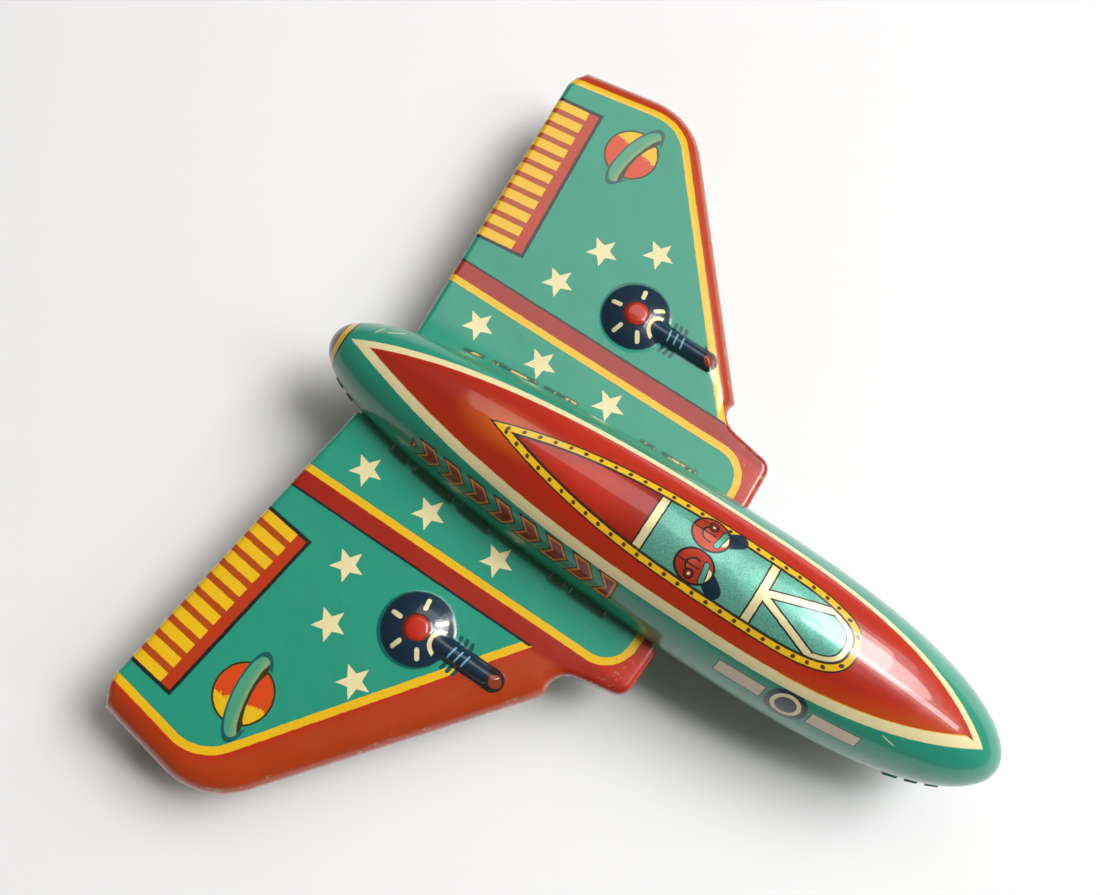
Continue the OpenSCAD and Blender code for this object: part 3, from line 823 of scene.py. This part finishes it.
def add_tab(points, faces, columns, side, steps):
    """A tab that goes on from one stretch of the upper shell's edge."""
    edge = [i * (ROWS + 1) + (ROWS if side > 0 else 0) for i in columns]
    previous = edge
    for out, drop in steps:
        line = []
        for x, y, _ in [points[i] for i in edge]:
            line.append(len(points))
            points.append((x, y + side * out, SEAM_Z + drop))
        for j in range(len(columns) - 1):
            quad = (previous[j], previous[j + 1], line[j + 1], line[j])
            faces.append(quad if side > 0 else quad[::-1])
        previous = line


def build_upper_shell(materials):
    """The printed top of the body, with tabs bent out under the wing and crimps at both ends."""
    places = stations([x for pair in TABS + CRIMPS for x in pair])
    points = []
    for x in places:
        r = max(TINY_R, body_radius(x))
        points += shell_ring(x, r, -seam_angle(r), seam_angle(r))
    faces = shell_faces(len(places))
    close_ends(points, faces, len(places), 0.0)
    for start, end in TABS + CRIMPS:
        steps = BENT_TAB if (start, end) in TABS else PLAIN_TAB
        columns = [i for i, x in enumerate(places) if start - 0.01 <= x <= end + 0.01]
        for side in (-1, 1):
            add_tab(points, faces, columns, side, steps)
    piece = tin_piece("upper_shell_tin", points, faces, materials)
    thicken(piece)
    settle(piece)
    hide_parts("upper_shell")


def cut_box(piece, name, low, high):
    """Cuts a box out of a piece; the cutter it returns goes once the piece is settled."""
    size = [h - l for l, h in zip(low, high)]
    bm = bmesh.new()
    bmesh.ops.create_cube(bm, size=1.0)
    for v in bm.verts:
        v.co = Vector((low[i] + size[i] * (v.co[i] + 0.5)) * MM for i in range(3))
    mesh = bpy.data.meshes.new(name)
    bm.to_mesh(mesh)
    bm.free()
    cutter = bpy.data.objects.new(name, mesh)
    bpy.context.scene.collection.objects.link(cutter)
    cut = piece.modifiers.new(name, "BOOLEAN")
    cut.operation = "DIFFERENCE"
    cut.solver = "EXACT"
    cut.object = cutter
    return cutter


def build_belly(materials):
    """The plain lower half: wheel bay, and slots for the motor's feet and the tail fork."""
    rear, front = UNDER_WING
    low_lip = SEAM_Z - TIN - 0.03
    high_lip = SEAM_Z + 0.6
    places = stations(UNDER_WING)
    points = []
    for x in places:
        r = max(TINY_R, body_radius(x) - LAP)
        lip = low_lip if rear < x < front else high_lip
        limit = math.acos(max(-1.0, min(1.0, (lip - AXIS_Z) / r)))
        points += shell_ring(x, r, limit, 2 * math.pi - limit)
    faces = shell_faces(len(places))
    close_ends(points, faces, len(places), LAP)
    piece = tin_piece("belly_shell_tin", points, faces, materials)
    thicken(piece)
    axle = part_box("drive_axle")
    axle_x = (axle[0].x + axle[1].x) / 2 / MM
    low = (axle_x - BAY_HALF_LEN, -BAY_HALF_W, -1)
    high = (axle_x + BAY_HALF_LEN, BAY_HALF_W, BAY_TOP)
    cutters = [cut_box(piece, "bay", low, high)]
    for side in (-1, 1):
        for x in FOOT_SLOTS_X:
            inner, outer = sorted((side * 4.45, side * 5.55))
            cutters.append(cut_box(piece, "foot_slot", (x - 0.2, inner, 0), (x + 2.2, outer, 12)))
        inner, outer = sorted((side * 1.6, side * 2.3))
        cutters.append(cut_box(piece, "ear_slot", (-50.2, inner, 0), (-45.8, outer, 16)))
    settle(piece)
    for cutter in cutters:
        bpy.data.objects.remove(cutter)
    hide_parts("belly_shell")


# ---------------------------------------------------------------- the wing sheet

EDGE_W = 1.4  # width of the rolled edge near the body
RIM_W = 5.0  # and of the rim round the outer wing
# each corner of the flat part: place, rounding, and rim width after it
WING_CORNERS = [
    ((-60.5, 0.0), 0.0, EDGE_W),
    ((-68.0, 76.1), 1.5, RIM_W),
    ((-44.7, 79.9), 11.0, RIM_W),
    ((-2.9, 27.9), 12.0, EDGE_W),
    ((9.5, 25.6), 1.5, EDGE_W),
    ((10.6, 0.0), 0.0, EDGE_W),
]
REAR_Y, FRONT_Y = 9.9, 16.2  # the rim ends here, where the body covers it
BODY_CUT = [(10.6, 5.9), (-14.0, 5.9), (-14.0, -5.9), (10.6, -5.9)]
DOME_H, BUTTON_H = 2.2, 0.42
GUN_START, GUN_END = 3.5, 17.4
GUN_GIRTH, GUN_TAPER = 2.05, 0.2
FLAT_STEP = 2.6  # between the points of the flat part
RIM_TURNS = 8
SKIRT = 0.8


def rim_blend(a, b, t):
    """How far the rim's width has gone from a to b, part t of the way round a corner."""
    power = 2.4
    return t**power if b > a else 1 - (1 - t) ** power


def wing_corner(i):
    """Points round one corner of the left wing: place, outward direction, rim width."""
    (point, radius, width) = WING_CORNERS[i]
    p = Vector(point)
    before, after = Vector(WING_CORNERS[i - 1][0]), Vector(WING_CORNERS[i + 1][0])
    d1, d2 = (p - before).normalized(), (after - p).normalized()
    bend = math.acos(d1.dot(d2))
    side = math.copysign(1, d1.x * d2.y - d1.y * d2.x)
    centre = p - d1 * radius * math.tan(bend / 2) + side * radius * Vector((-d1.y, d1.x))
    steps = max(8, round(math.degrees(bend) / 3))
    width_before = WING_CORNERS[i - 1][2]
    found = []
    for k in range(steps + 1):
        t = k / steps
        c, s = math.cos(side * bend * t), math.sin(side * bend * t)
        n = Vector((-d1.y * c - d1.x * s, d1.x * c - d1.y * s))
        w = width_before + (width - width_before) * rim_blend(width_before, width, t)
        found.append((centre - side * radius * n, n, w))
    return found


def wing_path():
    """The left wing's edge from the rear of the body round to the front of it."""
    path = [at for i in range(1, len(WING_CORNERS) - 1) for at in wing_corner(i)]
    first, last = path[0], path[-1]
    start = Vector(WING_CORNERS[0][0]).lerp(first[0], REAR_Y / first[0].y)
    front = Vector((last[0].x + (last[0].y - FRONT_Y) * 0.043, FRONT_Y))
    path = [(start, first[1], EDGE_W), *path, (front, last[1], EDGE_W)]
    # long straight stretches get points every few millimetres, so that the rim follows them
    dense = [path[0]]
    for (p0, n0, w0), (p1, n1, w1) in zip(path, path[1:]):
        steps = max(1, round((p1 - p0).length / 3.0))
        for k in range(1, steps + 1):
            t = k / steps
            dense.append((p0.lerp(p1, t), n0.lerp(n1, t).normalized(), w0 + (w1 - w0) * t))
    return dense


def smooth_most(a, b, k):
    """The larger of two heights, with a small fillet where they meet."""
    h = max(k - abs(a - b), 0.0) / k
    return max(a, b) + h * h * k * 0.25


def emboss(x, v):
    """Height of the pressed dome, its button and the gun above the flat sheet."""
    px, py = x - TURRET[0], v - TURRET[1]
    rho = math.hypot(px, py)
    ball = (DOME_R * DOME_R + DOME_H * DOME_H) / (2 * DOME_H)
    dome = math.sqrt(max(0.0, ball * ball - rho * rho)) - (ball - DOME_H)
    reach = min(max(px, GUN_START), GUN_END)
    girth = GUN_GIRTH - GUN_TAPER * (reach - GUN_START) / (GUN_END - GUN_START)
    off = math.hypot(px - reach, py)
    gun = math.sqrt(girth * girth - off * off) if off < girth else girth - off
    height = smooth_most(dome, gun - 0.3, 0.5)
    t = min(1.0, max(0.0, (BUTTON_R + 0.15 - rho) / 0.6))
    return smooth_most(height, 0.0, 0.35) + BUTTON_H * t * t * (3 - 2 * t)


def in_loop(x, y, loop):
    """Whether a point lies inside a closed line."""
    hit = False
    for (x1, y1), (x2, y2) in zip(loop, loop[1:] + loop[:1]):
        if (y1 > y) != (y2 > y) and x < (x2 - x1) * (y - y1) / (y2 - y1) + x1:
            hit = not hit
    return hit


def slot_loop(x0, x1, side):
    """The outline of one tab slot, along the body's side."""
    a0, a1 = body_radius(x0), body_radius(x1)
    loop = [(x0, a0 - 0.6), (x1, a1 - 0.6), (x1, a1 + 1.0), (x0, a0 + 1.0)]
    return [(x, y * side) for x, y in loop]


def turret_points(side):
    """Points close together over the dome, its button and the gun."""
    cx, cy = TURRET
    found = [(cx, cy)]
    for ring in range(1, 26):
        rho = 0.33 * ring
        count = max(8, min(72, ring * 8))
        for k in range(count):
            a = 2 * math.pi * (k + 0.5 * (ring % 2)) / count
            found.append((cx + rho * math.cos(a), cy + rho * math.sin(a)))
    columns, rows = 34, 18
    for i in range(columns):
        for j in range(rows):
            x = cx + 8.6 + 0.36 * i
            y = cy + (j - (rows - 1) / 2) * 0.3
            found.append((x, y))
    return [(x, y * side) for x, y in found]


def near_turret(x, v):
    """Whether the sheet is pressed up here, so that it needs its own closer points."""
    px, py = x - TURRET[0], v - TURRET[1]
    return math.hypot(px, py) < DOME_R + 2.0 or (7.0 < px < 21.4 and abs(py) < 3.2)


def flat_points(outline):
    """Points inside the wing's outline: close together on the turrets, wider elsewhere."""
    found = [p for side in (1, -1) for p in turret_points(side)]
    for i in range(-28, 6):
        for j in range(-34, 35):
            x = i * FLAT_STEP + (j % 2) * FLAT_STEP / 2
            y = j * FLAT_STEP * 0.87
            if not near_turret(x, abs(y)) and in_loop(x, y, outline):
                found.append((x, y))
    return found


def flat_sheet(outline, holes, extra):
    """Triangles that fill the outline round the holes; also where each given point went."""
    verts, edges = [], []
    for loop in [outline, *holes]:
        first = len(verts)
        verts += loop
        edges += [(first + i, first + (i + 1) % len(loop)) for i in range(len(loop))]
    verts += extra
    flat, _, faces, sources, *_ = delaunay_2d_cdt([Vector(v) for v in verts], edges, [], 0, 1e-5)
    places = {source: i for i, group in enumerate(sources) for source in group}
    kept = []
    for face in faces:
        cx = sum(flat[i].x for i in face) / len(face)
        cy = sum(flat[i].y for i in face) / len(face)
        if in_loop(cx, cy, outline) and not any(in_loop(cx, cy, h) for h in holes):
            kept.append(tuple(face))
    return flat, kept, places


def add_rim(points, faces, path, previous):
    """The rim on one side: a quarter turn outwards and down, then a short straight skirt."""
    for k in range(1, RIM_TURNS + 3):
        line = []
        a = math.pi / 2 * min(1.0, k / RIM_TURNS)
        for p, n, w in path:
            drop = min(RIM_DEPTH - SKIRT, w)
            z = SEAM_Z - drop * (1 - math.cos(a))
            if k > RIM_TURNS:
                z += (SEAM_Z - RIM_DEPTH - z) * (k - RIM_TURNS) / 2
            q = p + n * w * math.sin(a)
            line.append(len(points))
            points.append((q.x, q.y, z))
        for j in range(len(path) - 1):
            faces.append((previous[j], line[j], line[j + 1], previous[j + 1]))
        previous = line


def face_up(piece):
    """Joins doubled points and turns all the faces of a sheet the same way, upwards."""
    bm = bmesh.new()
    bm.from_mesh(piece.data)
    bmesh.ops.remove_doubles(bm, verts=bm.verts, dist=1e-6)
    bmesh.ops.recalc_face_normals(bm, faces=bm.faces)
    top = max(bm.faces, key=lambda f: f.calc_center_median().z)
    if top.normal.z < 0:
        bmesh.ops.reverse_faces(bm, faces=bm.faces)
    bm.to_mesh(piece.data)
    bm.free()


def build_wing(materials):
    """The wing sheet: both wings, the pressed turrets, the tab slots and the rolled rim."""
    left = wing_path()
    right = [(Vector((p.x, -p.y)), Vector((n.x, -n.y)), w) for p, n, w in reversed(left)]
    outline = [tuple(p) for p, n, w in left] + BODY_CUT + [tuple(p) for p, n, w in right]
    holes = [slot_loop(a, b, side) for a, b in SLOTS for side in (1, -1)]
    flat, faces, places = flat_sheet(outline, holes, flat_points(outline))
    points = []
    for p in flat:
        rise = emboss(p.x, abs(p.y)) if near_turret(p.x, abs(p.y)) else 0.0
        points.append((p.x, p.y, SEAM_Z + rise))
    for path, first in ((left, 0), (right, len(left) + len(BODY_CUT))):
        add_rim(points, faces, path, [places[first + i] for i in range(len(path))])
    piece = tin_piece("wing_sheet_tin", points, faces, materials)
    face_up(piece)
    thicken(piece)
    settle(piece)
    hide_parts("wing_sheet")


# ---------------------------------------------------------------- materials on the CAD nodes


def dress_nodes():
    """Gives each CAD node that stays its own worn metal or rubber."""
    looks = {
        "plated_steel": metal("plated_steel", STEEL, STEEL_DULL, 0.3, lines=(1, 14, 1)),
        "gear_brass": metal("gear_brass", BRASS, BRASS_DULL, 0.34, lines=(3, 3, 3)),
        "flywheel_iron": metal("flywheel_iron", IRON, IRON_DULL, 0.4, lines=(1, 10, 1)),
        "black_rubber": rubber(),
    }
    for part in frame["record"]["subparts"]:
        look = looks.get(part["material_slot"])
        if look is not None:
            materials = frame["nodes"][part["node"]].data.materials
            materials.clear()
            materials.append(look)


# ---------------------------------------------------------------- floor, light and camera

STAGE_REACH, WALL_HEIGHT = 6.0, 3.2  # metres
WALL_SIDES = 64
WARM = (1.0, 0.985, 0.965)
# soft lights that face the toy: place, direction of the long side, size, power
AREA_LIGHTS = {
    "window": ((540, 230, 780), (0.75, -0.05, -0.5), (750, 120), 2.9),
    "window_glow": ((540, 245, 795), (0.75, -0.05, -0.5), (890, 320), 1.0),
    "window_side": ((410, 490, 735), (-0.03, 0.61, -0.37), (590, 120), 1.4),
    "window_side_glow": ((410, 490, 750), (-0.03, 0.61, -0.37), (860, 360), 2.0),
    "sky": ((-130, 795, 1375), (1, 0, 0), (1300, 740), 5.4),
}
SUN_FROM = (0.42, 0.46, 0.78)
CAMERA_ANGLES = (-61.19, 74.15, 5.14)  # azimuth, elevation, roll
CAMERA_TARGET = (-27.1, 5.25, SEAM_Z)
CAMERA_DISTANCE = 216.6
CAMERA_LENS = 36.36


def stage_mesh(name, points, faces, material):
    """A piece of the stage, from points in metres."""
    piece = link_mesh(name, points, faces, [material])
    return piece


def wall_glow():
    """Pale paper that glows softly, less towards the top."""
    p = Painter("studio_wall", WALL_PAPER)
    p.shade(p.noise(0.002, 2.0) * 0.06 + 0.97)
    p.shade(1.0 - p.z.ramp(0.0, 3000.0) * 0.75)
    glow = p.tree.nodes.new("ShaderNodeEmission")
    out = p.tree.nodes.new("ShaderNodeOutputMaterial")
    feed(p.tree, glow.inputs["Color"], p.colour)
    glow.inputs["Strength"].default_value = 0.55
    p.tree.links.new(glow.outputs[0], out.inputs["Surface"])
    return p.material


def build_floor():
    """A floor, and far behind the toy on every side a wall that casts no light on it."""
    far = STAGE_REACH
    corners = [(-far, -far, 0), (far, -far, 0), (far, far, 0), (-far, far, 0)]
    stage_mesh("studio_floor", corners, [(0, 1, 2, 3)], floor_paint())
    sides = WALL_SIDES
    angles = [2 * math.pi * i / sides for i in range(sides)]
    points = [(math.cos(a) * far, math.sin(a) * far, z) for z in (0.0, WALL_HEIGHT) for a in angles]
    faces = [(i, (i + 1) % sides, sides + (i + 1) % sides, sides + i) for i in range(sides)]
    wall = stage_mesh("studio_wall", points, faces, wall_glow())
    wall.visible_diffuse = wall.visible_glossy = False


def link_light(name, kind, power):
    data = bpy.data.lights.new(name, kind)
    data.energy = power
    data.color = WARM
    light = bpy.data.objects.new(name, data)
    bpy.context.scene.collection.objects.link(light)
    return light


def area_light(name, place, along, size, power):
    """A soft light that faces the toy, with its long side along the given direction."""
    light = link_light(name, "AREA", power)
    light.data.shape = "RECTANGLE"
    light.data.size, light.data.size_y = size[0] * MM, size[1] * MM
    back = (Vector(place) - Vector((0, 0, AXIS_Z))).normalized()
    across = back.cross(Vector(along)).normalized()
    turn = Matrix((across.cross(back), across, back)).transposed().to_4x4()
    light.matrix_world = Matrix.Translation(Vector(place) * MM) @ turn


def build_light():
    """Window strips that give the highlights, a broad sky, and soft sun for the shadows."""
    world = bpy.data.worlds.new("studio")
    world.use_nodes = True
    background = world.node_tree.nodes["Background"]
    background.inputs["Color"].default_value = (1.0, 0.92, 0.77, 1)
    background.inputs["Strength"].default_value = 0.12
    bpy.context.scene.world = world
    for name, settings in AREA_LIGHTS.items():
        area_light(name, *settings)
    sun = link_light("daylight", "SUN", 1.42)
    sun.data.angle = math.radians(28)
    sun.rotation_euler = Vector(SUN_FROM).to_track_quat("Z", "Y").to_euler()


def build_camera():
    """At the photograph's angle: from the right of the nose and nearly overhead."""
    azimuth, elevation, roll = (math.radians(a) for a in CAMERA_ANGLES)
    level = math.cos(elevation)
    back = Vector((level * math.cos(azimuth), level * math.sin(azimuth), math.sin(elevation)))
    right = (-back).cross(Vector((0, 0, 1))).normalized()
    up = right.cross(-back)
    rolled_right = right * math.cos(roll) + up * math.sin(roll)
    rolled_up = up * math.cos(roll) - right * math.sin(roll)
    data = bpy.data.cameras.new("camera")
    data.lens = CAMERA_LENS
    data.sensor_width = 36.0
    data.clip_start = 0.01
    camera = bpy.data.objects.new("camera", data)
    bpy.context.scene.collection.objects.link(camera)
    turn = Matrix((rolled_right, rolled_up, back)).transposed().to_4x4()
    place = Vector(CAMERA_TARGET) + back * CAMERA_DISTANCE
    camera.matrix_world = Matrix.Translation(place * MM) @ turn
    bpy.context.scene.camera = camera


# ---------------------------------------------------------------- putting it together

tin = bare_tin()
build_upper_shell([body_print(), tin])
build_belly([belly_print(), tin])
build_wing([wing_print(), tin])
dress_nodes()
build_floor()
build_light()
build_camera()
bpy.context.scene.view_settings.view_transform = "Standard"
